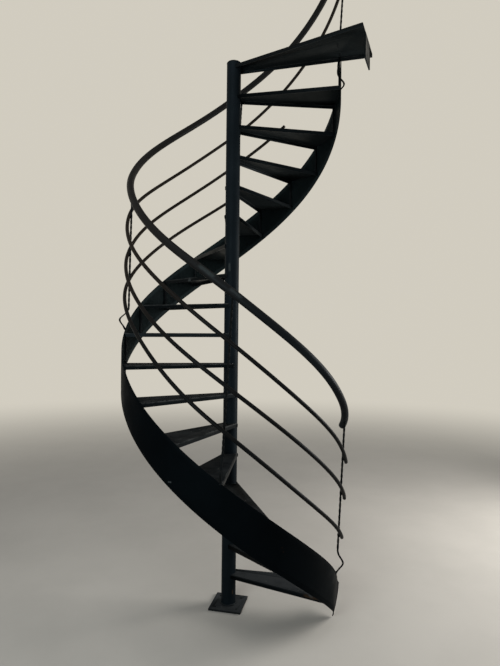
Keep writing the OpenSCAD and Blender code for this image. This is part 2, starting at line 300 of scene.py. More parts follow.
HANDRAIL = Rail(
    "handrail",
    HANDRAIL_DIAMETER,
    HANDRAIL_RADIUS,
    heights=(0.895, 0.938, 0.971, 1.048, 1.072),
    bow=(0.015, -0.009, 0.015, 0),
    hump=(0.005, -0.021, 0.003, 0),
    span=(HANDRAIL_START, RAILS_END),
    curl=HANDRAIL_CURL,
)
UPPER_RAIL = Rail(
    "mid_rail_upper",
    MID_RAIL_DIAMETER,
    MID_RAIL_RADIUS,
    heights=(0.657, 0.698, 0.736, 0.747, 0.825),
    bow=(0.014, 0.010, 0.001, -0.005),
    hump=(-0.012, 0.004, -0.019, 0.004),
    span=(13, RAILS_END),
)
MIDDLE_RAIL = Rail(
    "mid_rail_middle",
    MID_RAIL_DIAMETER,
    MID_RAIL_RADIUS,
    heights=(0.458, 0.478, 0.489, 0.506, 0.494),
    bow=(-0.008, -0.013, 0.018, 0.007),
    hump=(-0.001, -0.012, -0.004, -0.004),
    span=(10.5, 297.5),
)
LOWER_RAIL = Rail(
    "mid_rail_lower",
    MID_RAIL_DIAMETER,
    MID_RAIL_RADIUS,
    heights=(0.213, 0.256, 0.290, 0.251, 0.281),
    bow=(-0.015, -0.030, -0.016, 0),
    hump=(-0.011, 0, 0.008, 0),
    span=(13.5, 268.5),
)
MID_RAILS = (LOWER_RAIL, MIDDLE_RAIL, UPPER_RAIL)


# Mesh helpers
def new_object(name, bm, material, smooth_angle=35):
    """Turns a bmesh into a named piece with its material."""
    mesh = bpy.data.meshes.new(name)
    bmesh.ops.recalc_face_normals(bm, faces=bm.faces)
    bm.to_mesh(mesh)
    bm.free()
    piece = bpy.data.objects.new(name, mesh)
    bpy.context.scene.collection.objects.link(piece)
    mesh.materials.append(material)
    mesh.shade_smooth()
    mesh.set_sharp_from_angle(angle=math.radians(smooth_angle))
    return piece


def add(piece):
    """The piece rides on the frame beside the CAD nodes."""
    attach(piece, "root")


def stand_for(piece, node):
    """The piece rides on the frame in place of one CAD node."""
    add(piece)
    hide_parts(node)


def sweep(bm, rings):
    """Closed skin through rings that all have the same number of points."""
    made = [[bm.verts.new(point) for point in ring] for ring in rings]
    count = len(made[0])
    for low, high in zip(made, made[1:]):
        for j in range(count):
            k = (j + 1) % count
            bm.faces.new((low[j], low[k], high[k], high[j]))
    bm.faces.new(list(reversed(made[0])))
    bm.faces.new(made[-1])


def round_ring(centre, way, radius, sides):
    """Circle across a path; its first point is level with the centre."""
    side = upward(1).cross(way).normalized()
    up = way.cross(side)
    turns = [2 * math.pi * j / sides for j in range(sides)]
    return [centre + (side * math.cos(t) + up * math.sin(t)) * radius for t in turns]


def rounded_box(width, height, corner, rows=1):
    """Outline of a rectangle about its centre with rounded corners, its upright sides cut into rows.

    A known fault: with more than one row, the left side's rows come again before the right side's, so
    the skin has that wall twice and crosses itself inside the piece.
    """
    flat_width = width / 2 - corner
    flat_height = height / 2 - corner
    left_rows = [(-width / 2, flat_height * (1 - 2 * row / rows)) for row in range(1, rows)]
    right_rows = [(width / 2, -y) for _, y in left_rows]
    outline = []
    for k, (x_sign, y_sign) in enumerate(((1, 1), (-1, 1), (-1, -1), (1, -1))):
        for turn in (5, 45, 85):
            a = math.radians(90 * k + turn)
            x = x_sign * flat_width + corner * math.cos(a)
            y = y_sign * flat_height + corner * math.sin(a)
            outline.append((x, y))
        if k in (1, 3):
            outline += left_rows
        if k == 3:
            outline += right_rows
    return outline


def lathe(bm, profile, sides):
    """Closed profile of (radius, height) points turned about the stair's axis."""
    rings = []
    for j in range(sides):
        a = 2 * math.pi * j / sides
        rings.append([bm.verts.new((r * math.cos(a), r * math.sin(a), z)) for r, z in profile])
    count = len(profile)
    for j in range(sides):
        low, high = rings[j], rings[(j + 1) % sides]
        for i in range(count):
            k = (i + 1) % count
            bm.faces.new((low[i], high[i], high[k], low[k]))


# Shader helpers
def opaque(colour):
    return (*colour, 1)


class Wiring:
    """Short forms for wiring the nodes of a material or a world."""

    def __init__(self, owner):
        owner.use_nodes = True
        self.tree = owner.node_tree
        self.tree.nodes.clear()

    def node(self, kind, sockets=None, **settings):
        """New node with its settings, and its sockets linked to outputs or set to values."""
        made = self.tree.nodes.new(kind)
        for key, value in settings.items():
            setattr(made, key, value)
        for key, value in (sockets or {}).items():
            self.put(made.inputs[key], value)
        return made

    def link(self, source, target):
        self.tree.links.new(source, target)

    def put(self, socket, value):
        if isinstance(value, bpy.types.NodeSocket):
            self.link(value, socket)
        else:
            socket.default_value = value

    def parts(self, vector):
        """Outputs X, Y and Z of a vector."""
        return self.node("ShaderNodeSeparateXYZ", {0: vector}).outputs

    def band(self, value, low, high):
        """Remaps low..high to 0..1 with soft ends."""
        sockets = {"Value": value, "From Min": low, "From Max": high}
        return self.node("ShaderNodeMapRange", sockets, interpolation_type="SMOOTHSTEP").outputs["Result"]

    def math(self, operation, *values):
        return self.node("ShaderNodeMath", dict(enumerate(values)), operation=operation).outputs[0]

    def times(self, *values):
        result = values[0]
        for value in values[1:]:
            result = self.math("MULTIPLY", result, value)
        return result

    def vector(self, operation, *values):
        made = self.node("ShaderNodeVectorMath", dict(enumerate(values)), operation=operation)
        return made.outputs["Value" if operation in ("DOT_PRODUCT", "LENGTH") else "Vector"]

    def mix(self, factor, a, b, data_type="RGBA"):
        sockets = {"Factor": factor, "A": a, "B": b}
        return self.node("ShaderNodeMix", sockets, data_type=data_type).outputs["Result"]

    def over(self, under, factor, tone):
        """Lays one more tone of paint, dust, rust or painted light over what is there."""
        return self.mix(factor, under, opaque(tone))

    def mix_shader(self, factor, a, b):
        return self.node("ShaderNodeMixShader", {0: factor, 1: a, 2: b}).outputs[0]

    def seen(self):
        """1 where the camera, a reflection or glass looks, 0 where light is gathered."""
        path = self.node("ShaderNodeLightPath").outputs
        direct = self.math("MAXIMUM", path["Is Camera Ray"], path["Is Glossy Ray"])
        return self.math("MAXIMUM", direct, path["Is Transmission Ray"])


class Shader(Wiring):
    """One material on the object's own coordinates, its shader already on the output."""

    def __init__(self, name):
        self.material = bpy.data.materials.new(name)
        super().__init__(self.material)
        self.bsdf = self.node("ShaderNodeBsdfPrincipled")
        self.output = self.node("ShaderNodeOutputMaterial", {0: self.bsdf.outputs[0]})
        self.place = self.node("ShaderNodeTexCoord").outputs["Object"]
        self.normal = self.node("ShaderNodeNewGeometry").outputs["Normal"]

    def moved(self, offset):
        sockets = {"Vector": self.place, "Location": (offset, offset * 0.7, offset * 1.3)}
        return self.node("ShaderNodeMapping", sockets).outputs[0]

    def noise(self, scale, detail, roughness=0.6, offset=0.0):
        sockets = {"Vector": self.moved(offset), "Scale": scale, "Detail": detail, "Roughness": roughness}
        return self.node("ShaderNodeTexNoise", sockets).outputs["Fac"]

    def spots(self, scale, size, offset):
        """Scattered round specks: 1 inside, 0 outside."""
        cells = self.node("ShaderNodeTexVoronoi", {"Vector": self.moved(offset), "Scale": scale})
        return self.band(cells.outputs["Distance"], size * 1.25, size * 0.75)

    def mark(self, centre, way, half_length, half_width):
        """Soft-ended ragged stroke along a line through a point: 1 on the line, 0 away from it."""
        away = self.vector("SUBTRACT", self.place, tuple(centre))
        along = self.math("ABSOLUTE", self.vector("DOT_PRODUCT", away, tuple(way)))
        across = self.vector("LENGTH", self.vector("CROSS_PRODUCT", away, tuple(way)))
        ragged = self.times(self.noise(140, 2.0), half_width)
        across = self.math("ADD", across, self.math("SUBTRACT", ragged, half_width * 0.5))
        ends = self.band(along, half_length, half_length * 0.6)
        return self.times(ends, self.band(across, half_width, half_width * 0.45))

    def near_fold(self):
        """1 along the fold between a tread's front and its top, 0 away from it."""
        fold = self.parts(self.node("ShaderNodeUVMap", uv_map="fold").outputs[0])
        return self.times(self.band(fold["X"], 0.011, 0.002), self.band(fold["Y"], 0.009, 0.001))

    def painted_light_inside(self, patch):
        """Mask of painted light: 1 in patches of the faces that look towards the stair's axis, 0
        elsewhere.
        """
        level = self.vector("NORMALIZE", self.vector("MULTIPLY", self.place, (1, 1, 0)))
        outward = self.vector("DOT_PRODUCT", level, self.normal)
        return self.times(self.band(outward, -0.3, -0.7), self.band(patch, 0.1, 0.5))


# Tones that lie over the paints, and the heights between which floor dust fades and brown comes in
FLOOR_DUST = (0.034, 0.036, 0.037)
FLOOR_DUST_TOP = 0.45
FLOOR_DUST_FULL = 0.25
BROWN_START = 1.5
BROWN_FULL = 2.3
WORN_FOLD = (0.060, 0.062, 0.060)
RUST_SPOT = (0.07, 0.028, 0.012)
PALE_SPECK = (0.26, 0.25, 0.23)
COOL_SHEEN = (0.72, 0.90, 1.0)
DUSTY_ROUGHNESS = 0.90


def painted_steel(
    name, colour, dust, dust_amount, rust_amount, roughness, gloss, marks=(),
    edge_wear=False, inside=None, underneath=None, higher_up=None,
):
    """Brushed-on satin paint with dust on level faces, specks, a little rust, and marks in their places,
    some of them painted highlights and painted light.

    Three more tones are for some paints only: inside, painted light on faces that look towards the
    stair's axis, underneath, painted light on faces that look down, and higher_up for what is near the
    upper floor.
    """
    s = Shader(name)
    upright = s.parts(s.normal)["Z"]
    facing_up = s.band(upright, 0.55, 0.95)
    height = s.parts(s.place)["Z"]
    cloud = s.noise(2.2, 4.0)
    patch = s.noise(9.0, 4.0, 0.65, offset=3.0)
    fine = s.noise(60.0, 3.0, offset=5.0)
    grain = s.noise(420.0, 2.0, 0.5, offset=8.0)

    darker = opaque(c * 0.75 for c in colour)
    lighter = opaque(c * 1.3 for c in colour)
    paint = s.mix(s.band(cloud, 0.3, 0.7), darker, lighter)
    if higher_up:
        paint = s.over(paint, s.band(height, BROWN_START, BROWN_FULL), higher_up)
    if underneath:
        # Painted light: a lighter tone on the faces that look down
        paint = s.over(paint, s.band(upright, -0.5, -0.9), underneath)
    if inside:
        # Painted light: a lighter tone on the faces that look towards the stair's axis
        paint = s.over(paint, s.painted_light_inside(patch), inside)

    paint = s.over(paint, s.times(s.band(patch, 0.25, 0.75), facing_up, dust_amount), dust)
    near_floor = s.band(height, FLOOR_DUST_TOP, FLOOR_DUST_FULL)
    paint = s.over(paint, s.times(near_floor, facing_up, s.band(patch, 0.1, 0.5), 0.8), FLOOR_DUST)
    if edge_wear:
        paint = s.over(paint, s.times(s.near_fold(), s.band(patch, 0.38, 0.6), 0.6), WORN_FOLD)
    rusty = s.band(s.math("ADD", patch, s.times(fine, 0.5)), 1.02, 1.12)
    paint = s.over(paint, s.times(rusty, rust_amount), RUST_SPOT)
    specks = s.times(s.spots(34.0, 0.09, 2.0), s.band(fine, 0.5, 0.56), facing_up, 0.6)
    paint = s.over(paint, specks, PALE_SPECK)
    for centre, way, half_length, half_width, tone in marks:
        paint = s.over(paint, s.mark(centre, way, half_length, half_width), tone)
    s.put(s.bsdf.inputs["Base Color"], paint)

    rough = s.mix(s.band(patch, 0.3, 0.7), roughness - 0.07, roughness + 0.09, "FLOAT")
    rough = s.mix(facing_up, rough, DUSTY_ROUGHNESS, "FLOAT")
    s.put(s.bsdf.inputs["Roughness"], rough)
    s.put(s.bsdf.inputs["Specular IOR Level"], gloss)
    s.put(s.bsdf.inputs["Specular Tint"], opaque(COOL_SHEEN))

    brushed = s.math("ADD", s.times(fine, 0.7), s.times(grain, 0.3))
    relief = s.math("ADD", brushed, s.times(specks, 0.6))
    bump = s.node("ShaderNodeBump", {"Strength": 0.12, "Distance": 0.0010, "Height": relief})
    s.put(s.bsdf.inputs["Normal"], bump.outputs[0])
    return s.material


# Marks, painted highlights and painted light that the photograph shows: place, way, half length, half
# width and tone
BARE = (0.055, 0.060, 0.060)
RUST = (0.028, 0.018, 0.011)
UP = Vector((0, 0, 1))


def on_pole(angle, height):
    return direction(angle) * POLE_RADIUS + upward(height)


def on_stringer(angle, height):
    return direction(angle) * STRINGER_RADIUS + upward(height)


def on_tread(n, angle, reach, below=0.0):
    """Point on a tread's top face, or below it on its folded front."""
    return direction(angle) * reach + upward(tread_surface(n, angle, reach) - below)


def rail_highlight_place(rail, angle):
    """Place of a painted highlight on the camera side of a rail, a little above its middle, and the
    rail's way there.
    """
    return rail.point(angle) + Vector((0, -0.018, 0.010)), rail.way(angle)


frame_marks_and_painted_light = (
    # Painted highlight: a light patch on the tube
    (on_pole(106, 2.093), UP, 0.030, 0.009, (0.026, 0.030, 0.031)),
    (on_pole(51.5, 0.093), UP, 0.016, 0.006, RUST),
    (on_stringer(113.2, 0.928), tangent(113.2), 0.012, 0.005, (0.030, 0.034, 0.036)),
    # Painted light: a lighter blotch on the stringer's lower end
    (on_stringer(4, 0.120), UP, 0.200, 0.260, (0.0068, 0.0070, 0.0072)),
)
railing_marks_and_highlights = (
    # Painted highlights on the handrail's camera side; the third mark is the end plug's tone
    (*rail_highlight_place(HANDRAIL, 101), 0.060, 0.012, (0.020, 0.024, 0.024)),
    (*rail_highlight_place(HANDRAIL, 88.5), 0.045, 0.010, (0.020, 0.023, 0.024)),
    (HANDRAIL.point(HANDRAIL_START), HANDRAIL.way(HANDRAIL_START), 0.012, 0.030, (0.026, 0.025, 0.029)),
)
tread_marks = (
    (on_tread(1, 29.13, 0.5587, below=0.0047), direction(29.2), 0.055, 0.013, RUST),
    (on_tread(11, 226.34, 0.3621, below=0.0168), direction(225).cross(UP), 0.090, 0.018, BARE),
    (on_tread(1, 25.75, 0.5018), Vector((0.6, -0.8, -0.03)), 0.085, 0.013, (0.044, 0.046, 0.046)),
)

# Paints
frame_paint = painted_steel(
    "frame_paint",
    colour=(0.0048, 0.0070, 0.0088),
    dust=(0.014, 0.016, 0.018),
    dust_amount=0.4,
    rust_amount=0.2,
    roughness=0.46,
    gloss=0.024,
    marks=frame_marks_and_painted_light,
)
# Same black paint as frame_paint, made darker: painted shade on the stringer's outer face
stringer_paint = painted_steel(
    "stringer_paint",
    colour=(0.0011, 0.0018, 0.0023),
    dust=(0.012, 0.014, 0.016),
    dust_amount=0.4,
    rust_amount=0.2,
    roughness=0.48,
    gloss=0.010,
    marks=frame_marks_and_painted_light,
    # Painted light on the stringer's inner face
    inside=(0.0100, 0.0146, 0.0152),
)
foot_paint = painted_steel(
    "foot_paint",
    colour=(0.0080, 0.0090, 0.0092),
    dust=(0.042, 0.045, 0.047),
    dust_amount=1.0,
    rust_amount=0.3,
    roughness=0.50,
    gloss=0.024,
    marks=frame_marks_and_painted_light,
)
tread_paint = painted_steel(
    "tread_paint",
    colour=(0.0026, 0.0036, 0.0042),
    dust=(0.0260, 0.0275, 0.0285),
    dust_amount=0.75,
    rust_amount=0.1,
    roughness=0.38,
    gloss=0.028,
    marks=tread_marks,
    edge_wear=True,
    # Painted light on the treads' undersides
    underneath=(0.0120, 0.0150, 0.0160),
)
handrail_paint = painted_steel(
    "handrail_paint",
    colour=(0.0060, 0.0074, 0.0086),
    dust=(0.014, 0.014, 0.014),
    dust_amount=0.3,
    rust_amount=0.1,
    roughness=0.46,
    gloss=0.036,
    marks=railing_marks_and_highlights,
    higher_up=(0.0094, 0.0086, 0.0080),
)
rail_paint = painted_steel(
    "rail_paint",
    colour=(0.0050, 0.0050, 0.0050),
    dust=(0.018, 0.015, 0.012),
    dust_amount=0.3,
    rust_amount=0.2,
    roughness=0.45,
    gloss=0.036,
    higher_up=(0.0130, 0.0096, 0.0070),
)
bar_paint = painted_steel(
    "bar_paint",
    colour=(0.0046, 0.0052, 0.0054),
    dust=(0.012, 0.012, 0.011),
    dust_amount=0.2,
    rust_amount=0.2,
    roughness=0.62,
    gloss=0.016,
)
weld_paint = painted_steel(
    "weld_paint",
    colour=(0.0034, 0.0044, 0.0050),
    dust=(0.014, 0.015, 0.015),
    dust_amount=0.3,
    rust_amount=0.3,
    roughness=0.42,
    gloss=0.040,
)


# Centre tube
def make_pole():
    bm = bmesh.new()
    inside = POLE_RADIUS - POLE_WALL
    heights = [PLATE_TOP + (POLE_TOP - PLATE_TOP) * i / POLE_LEVELS for i in range(POLE_LEVELS + 1)]
    profile = [(POLE_RADIUS, z) for z in heights] + [(inside, POLE_TOP), (inside, PLATE_TOP)]
    lathe(bm, profile, POLE_SIDES)
    stand_for(new_object("pole_tube", bm, frame_paint), "centre_pole")


# Treads, landing, foot plate and cap: the CAD solids with their edges eased
MERGE_DISTANCE = 1e-5
FLAT_ANGLE = 0.5
EDGE_ANGLE = 40
FOLD_ANGLE = 60
FOLD_MIN_LENGTH = 0.25
TREAD_EASE = 0.0007
PLATE_EASE = 0.0012
CAP_EASE = 0.0008


def fold_map(bm, n):
    """Stores how far each corner is behind the tread's front face and below its top, in metres."""
    layer = bm.loops.layers.uv.new("fold")
    front_turn = math.degrees(math.asin(FRONT_OFFSET / STRINGER_RADIUS))
    ahead = direction(nosing(n) + front_turn - 90)
    for face in bm.faces:
        for loop in face.loops:
            place = loop.vert.co
            angle = math.degrees(math.atan2(-place.y, place.x))
            drop = tread_surface(n, angle, place.xy.length) - place.z
            loop[layer].uv = (FRONT_OFFSET - place.dot(ahead), abs(drop))


def sharper_than(bm, angle):
    """Edges between two faces that meet at more than an angle in degrees."""
    limit = math.radians(angle)
    return [e for e in bm.edges if len(e.link_faces) == 2 and e.calc_face_angle() > limit]


def bevel(bm, edges, width, segments):
    bmesh.ops.bevel(bm, geom=edges, offset=width, segments=segments, affect="EDGES", clamp_overlap=True)


def softened(node, material, width, tread=None):
    """Copy of a CAD node with bent folds and its other sharp edges rounded a little."""
    bm = bmesh.new()
    bm.from_mesh(nodes[node].data)
    bmesh.ops.remove_doubles(bm, verts=bm.verts, dist=MERGE_DISTANCE)
    bmesh.ops.dissolve_limit(bm, angle_limit=math.radians(FLAT_ANGLE), verts=bm.verts, edges=bm.edges)
    if tread:
        folds = [
            e for e in sharper_than(bm, FOLD_ANGLE)
            if e.calc_length() > FOLD_MIN_LENGTH and max(f.normal.z for f in e.link_faces) > 0.9
        ]
        bevel(bm, folds, TREAD_SHEET, segments=4)
    bevel(bm, sharper_than(bm, EDGE_ANGLE), width, segments=2)
    if tread:
        fold_map(bm, tread)
    stand_for(new_object("painted_" + node, bm, material), node)


# Stringer: rounded flat bar along the helix, its lower end twisted out of the circle
def stringer_ring(a_top, a_low, out_top, out_low):
    """Section of the bar from a top corner to a low corner, each at its own turn and push outward."""
    low = low_height(a_low)
    top = edge_height(a_top)
    ring = []
    for u, v in rounded_box(STRINGER_THICKNESS, top - low, STRINGER_CORNER, STRINGER_ROWS):
        t = v / (top - low) + 0.5
        angle = a_low + (a_top - a_low) * t
        wave = HAMMERED_DEPTH * noise.noise(Vector((math.radians(angle) * 4, t * 1.5, 3)))
        reach = STRINGER_INSIDE + STRINGER_THICKNESS / 2 + u + out_low + (out_top - out_low) * t + wave
        ring.append(direction(angle) * reach + upward(low + (top - low) * t))
    return ring


def make_stringer():
    end_low = END_TOP + edge_height(END_TOP) / CUT_FALL + END_LOW_LAG
    joined = END_TOP + TWISTED_END
    finish = level_nosing(RISERS) - SHORT_OF_LANDING
    rings = []
    for i in range(END_STEPS):
        t = i / END_STEPS
        top_turn = END_TOP + (joined - END_TOP) * t
        low_turn = end_low + (joined - end_low) * t
        rings.append(stringer_ring(top_turn, low_turn, END_OUT * (1 - t) ** 5, -END_IN * (1 - t)))
    for i in range(STRINGER_STEPS + 1):
        angle = joined + (finish - joined) * i / STRINGER_STEPS
        rings.append(stringer_ring(angle, angle, 0, 0))
    bm = bmesh.new()
    sweep(bm, rings)
    stand_for(new_object("stringer_bar", bm, stringer_paint), "stringer")


# Rails
def make_rail(rail, sides, material, start=DOMED_END):
    """Tube along a rail's centre line with closed, eased ends."""
    slope = math.atan(math.degrees(RISE) / rail.radius)
    end_turn = math.degrees(rail.tube * math.cos(slope) / rail.radius)
    count = round((rail.last - rail.first) / RAIL_STEP)
    stations = [(rail.first - end_turn * out, size) for out, size in start]
    stations += [(rail.first + (rail.last - rail.first) * i / count, 1) for i in range(count + 1)]
    stations += [(rail.last + end_turn * out, size) for out, size in reversed(DOMED_END)]
    bm = bmesh.new()
    sweep(bm, [round_ring(rail.point(a), rail.way(a), rail.tube * size, sides) for a, size in stations])
    stand_for(new_object("tube_" + rail.node, bm, material, smooth_angle=50), rail.node)


# Bars
class Bar:
    """One square bar: bowed foot on the stringer's edge, twisted shank, saddle under the handrail."""

    def __init__(self, number):
        self.number = number
        self.foot = BAR_FEET[number]
        self.low = self.meet(LOWER_RAIL)
        self.mid = self.meet(MIDDLE_RAIL)
        self.high = self.meet(UPPER_RAIL)
        self.top = self.meet(HANDRAIL)

    def shift_back(self, height):
        return height * math.tan(math.radians(THIRD_BAR_LEAN)) if self.number == THIRD_BAR else 0

    def turn(self, height):
        return self.foot - math.degrees(self.shift_back(height) / BAR_RADIUS)

    def meet(self, rail):
        """Height over the stringer at which the bar meets a rail."""
        height = rail.height(self.foot)
        for _ in range(5):
            turn = self.turn(height)
            height = rail.height(turn) - RISE * (self.foot - turn)
        return height

    def reach(self, height):
        out = BAR_RADIUS + pushed_out(self.turn(height), height)
        return math.sqrt(out**2 - self.shift_back(height) ** 2)

    def centre(self, height, reach):
        place = direction(self.foot) * reach - tangent(self.foot) * self.shift_back(height)
        return place + upward(edge_height(self.foot) + height) + lean(height)

    def bowed(self, height):
        """Distance from the stair's axis along the bowed foot."""
        tip = STRINGER_RADIUS + FOOT_BOW
        base = STRINGER_RADIUS + FOOT_STANDS_OUT if height < FOOT_TIP else self.reach(height)
        return base + (tip - base) * curve_lookup(height, FOOT_CURVE)

    def knots(self):
        """Heights and twists in degrees, timed so that a corner of the bar faces each rail it carries."""
        end = self.top - SADDLE_LENGTH
        quarter = TWIST_QUARTER
        q0 = 2 * round((self.low - FOOT_TOP - quarter / 2) / quarter / 2)
        q1 = q0 + round((self.mid - self.low) / quarter)
        q2 = q1 + round((self.high - self.mid) / quarter)
        q3 = q2 + round((end - self.high - quarter / 2) / quarter)
        return (
            (FOOT_TOP, 0),
            (self.low, 45 + 90 * q0),
            (self.mid, 45 + 90 * q1),
            (self.high, 45 + 90 * q2),
            (end, 90 + 90 * q3),
        )

    def ring(self, height, outline, twist):
        """Bar's outline at a height, turned by the twist."""
        bow = height < FOOT_TOP
        middle = self.centre(height, self.bowed(height) if bow else self.reach(height))
        turn = math.radians(0 if bow else twist + self.foot - self.turn(height))
        slant = math.degrees(RISE) / STRINGER_RADIUS * max(0, 1 - height / FOOT_LEVELLING)
        ring = []
        for x0, y0 in outline:
            x = x0 * math.cos(turn) - y0 * math.sin(turn)
            y = x0 * math.sin(turn) + y0 * math.cos(turn)
            ring.append(middle + direction(self.foot) * x - tangent(self.foot) * y - upward(y * slant))
        return ring

    def saddle(self, outline, sink):
        """Bar's outline on the handrail's underside, sunk in by a share of the tube's radius."""
        turn = self.turn(self.top)
        handrail_reach = HANDRAIL.reach(turn)
        bar_reach = BAR_RADIUS + pushed_out(turn, self.top)
        gain = (HANDRAIL.height(turn + 2) - HANDRAIL.height(turn - 2)) / 4
        slope = math.degrees(RISE + gain) / handrail_reach
        shift = math.tan(math.radians(RAILING_LEAN)) * HANDRAIL_DIAMETER / 2
        tube = HANDRAIL_DIAMETER / 2 * sink
        a = math.radians(turn)
        spin = math.radians(self.knots()[-1][1])
        ring = []
        for x0, y0 in outline:
            x = x0 * math.cos(spin) - y0 * math.sin(spin)
            y = x0 * math.sin(spin) + y0 * math.cos(spin)
            across = bar_reach + x - handrail_reach - shift * math.cos(a)
            back = y - shift * math.sin(a)
            deep = math.sqrt(max(tube**2 - across**2, 0)) / math.cos(math.atan(slope))
            height = edge_height(self.foot) + self.top - deep - back * slope
            place = direction(turn) * (bar_reach + x) - tangent(turn) * y
            ring.append(place + upward(height) + lean(self.top) - Vector((shift, 0, 0)))
        return ring


def make_bar(bar):
    outline = rounded_box(BAR_SIDE, BAR_SIDE, BAR_CORNER)
    knots = bar.knots()
    end = knots[-1][0]
    rings = [bar.ring(FOOT_TOP * i / FOOT_STEPS, outline, 0) for i in range(FOOT_STEPS)]
    count = round((end - FOOT_TOP) / TWIST_STEP)
    for i in range(count + 1):
        height = FOOT_TOP + (end - FOOT_TOP) * i / count
        rings.append(bar.ring(height, outline, lookup(height, knots)))
    rings.append(bar.saddle(outline, SADDLE_SINK))
    bm = bmesh.new()
    sweep(bm, rings)
    piece = new_object(f"twisted_bar_{bar.number + 1}", bm, bar_paint, smooth_angle=40)
    stand_for(piece, f"baluster_{bar.number + 1}")


# Weld beads: radii, and how far their middles stand out from the tube or in from the stringer
TUBE_BEAD = 0.0030
TUBE_BEAD_OUT = 0.0006
STRINGER_BEAD = 0.0032
STRINGER_BEAD_IN = 0.0008
FOOT_BEAD = 0.0045
FOOT_BEAD_OUT = 0.0015
CAP_BEAD = 0.0016
CAP_BEAD_IN = 0.0004
SADDLE_BEAD = 0.0020
SADDLE_BEAD_OUT = 0.00075
SADDLE_CORNER = 0.003
BEAD_SIDES = 7
BEAD_STEP = 0.0022
FULL_TURN = 365

# Weld lumps: half sizes outward, along the stair and upward
CORNER_LUMP = (0.0040, 0.0048, 0.0125)
UPRIGHT_FOOT_LUMP = (0.0068, 0.0070, 0.0028)
UPRIGHT_HEAD_LUMP = (0.0060, 0.0060, 0.0028)
BAR_OUTER_LUMP = (0.0048, 0.0080, 0.0046)
BAR_INNER_LUMP = (0.0028, 0.0068, 0.0040)
RAIL_LUMP = (0.0030, 0.0046, 0.0030)
RAIL_LUMP_OFFSET = 0.0050

# Middles of the lumps at a bar's foot: out from the stringer's outer face and up from its edge
BAR_OUTER_PLACE = (0.001, -0.003)
BAR_INNER_PLACE = (-0.0035, 0.001)

# Turns from a tread's front corner over which its edge is welded to the tube, and to its corner there
TUBE_WELD_START = -78
TUBE_WELD_END = 62
TUBE_CORNER = -90
TUBE_CORNER_OUT = 0.0030
TUBE_CORNER_DROP = 0.016

# Short welds of a tread to the stringer: shares of the tread's width, and half their turn
STRINGER_WELDS = (0.12, 0.5, 0.86)
STRINGER_WELD_HALF = 1.9


def bead(bm, path, radius):
    """Rippled weld bead along a path of points, thin at both ends."""
    last = len(path) - 1
    rings = []
    for i, point in enumerate(path):
        way = (path[min(i + 1, last)] - path[max(i - 1, 0)]).normalized()
        ripple = 1 + 0.12 * math.sin(i * 2.1) + 0.35 * noise.noise(point * 130)
        taper = min(1.0, 0.35 + 0.3 * min(i, last - i))
        rings.append(round_ring(point, way, radius * ripple * taper, BEAD_SIDES))
    sweep(bm, rings)


def blob(bm, centre, axes, turn):
    """Small uneven weld lump, its axes along outward, back and up at the given turn."""
    turned = Matrix.Rotation(-math.radians(turn), 4, "Z")
    place = Matrix.Translation(centre) @ turned @ Matrix.Diagonal((*axes, 1))
    made = bmesh.ops.create_icosphere(bm, subdivisions=2, radius=1, matrix=place)
    for vert in made["verts"]:
        vert.co += (vert.co - centre) * 0.45 * noise.noise(vert.co * 170)


def arc(reach, first, last, height):
    """Points round the stair's axis, at the height that a function of the turn gives."""
    count = max(4, round(math.radians(abs(last - first)) * reach / BEAD_STEP))
    turns = [first + (last - first) * i / count for i in range(count + 1)]
    return [direction(turn) * reach + upward(height(turn)) for turn in turns]


def under_tread(n, reach, below):
    """Function of the turn that gives a height below a tread's top face."""
    return lambda turn: tread_surface(n, turn, reach) - below


def weld_treads():
    """Beads where the treads meet the tube and the stringer, and lumps at their corners and uprights."""
    bm = bmesh.new()
    for n in range(1, RISERS + 1):
        turn = nosing(n)
        for below in (0, TREAD_SHEET):
            line = under_tread(n, POLE_RADIUS, below)
            start, end = turn + TUBE_WELD_START, turn + TUBE_WELD_END
            bead(bm, arc(POLE_RADIUS + TUBE_BEAD_OUT, start, end, line), TUBE_BEAD)
        corner = turn + TUBE_CORNER
        height = tread_surface(n, corner, POLE_RADIUS) - TUBE_CORNER_DROP
        place = direction(corner) * (POLE_RADIUS + TUBE_CORNER_OUT) + upward(height)
        blob(bm, place, CORNER_LUMP, corner)
        line = under_tread(n, TREAD_END, TREAD_SHEET)
        for share in STRINGER_WELDS:
            middle = turn + TREAD_WIDTH_ANGLE * share
            start, end = middle - STRINGER_WELD_HALF, middle + STRINGER_WELD_HALF
            bead(bm, arc(TREAD_END - STRINGER_BEAD_IN, start, end, line), STRINGER_BEAD)
        if n < RISERS:
            reach = TREAD_END - UPRIGHT_INSET
            above = (level_nosing(n + 1) if n == RISERS - 1 else nosing(n + 1)) + UPRIGHT_PAST_CORNER
            blob(bm, on_tread(n, above, reach), UPRIGHT_FOOT_LUMP, above)
            blob(bm, on_tread(n + 1, above, reach, below=TREAD_SHEET), UPRIGHT_HEAD_LUMP, above)
    add(new_object("welds_treads", bm, weld_paint, smooth_angle=80))


def weld_foot():
    """Collar weld round the tube on its foot plate, and the weld under the cap."""
    bm = bmesh.new()
    reach = POLE_RADIUS + FOOT_BEAD_OUT
    bead(bm, arc(reach, 0, FULL_TURN, lambda turn: PLATE_TOP + FOOT_BEAD_OUT), FOOT_BEAD)
    bead(bm, arc(POLE_RADIUS - CAP_BEAD_IN, 0, FULL_TURN, lambda turn: POLE_TOP), CAP_BEAD)
    add(new_object("welds_pole", bm, weld_paint, smooth_angle=80))


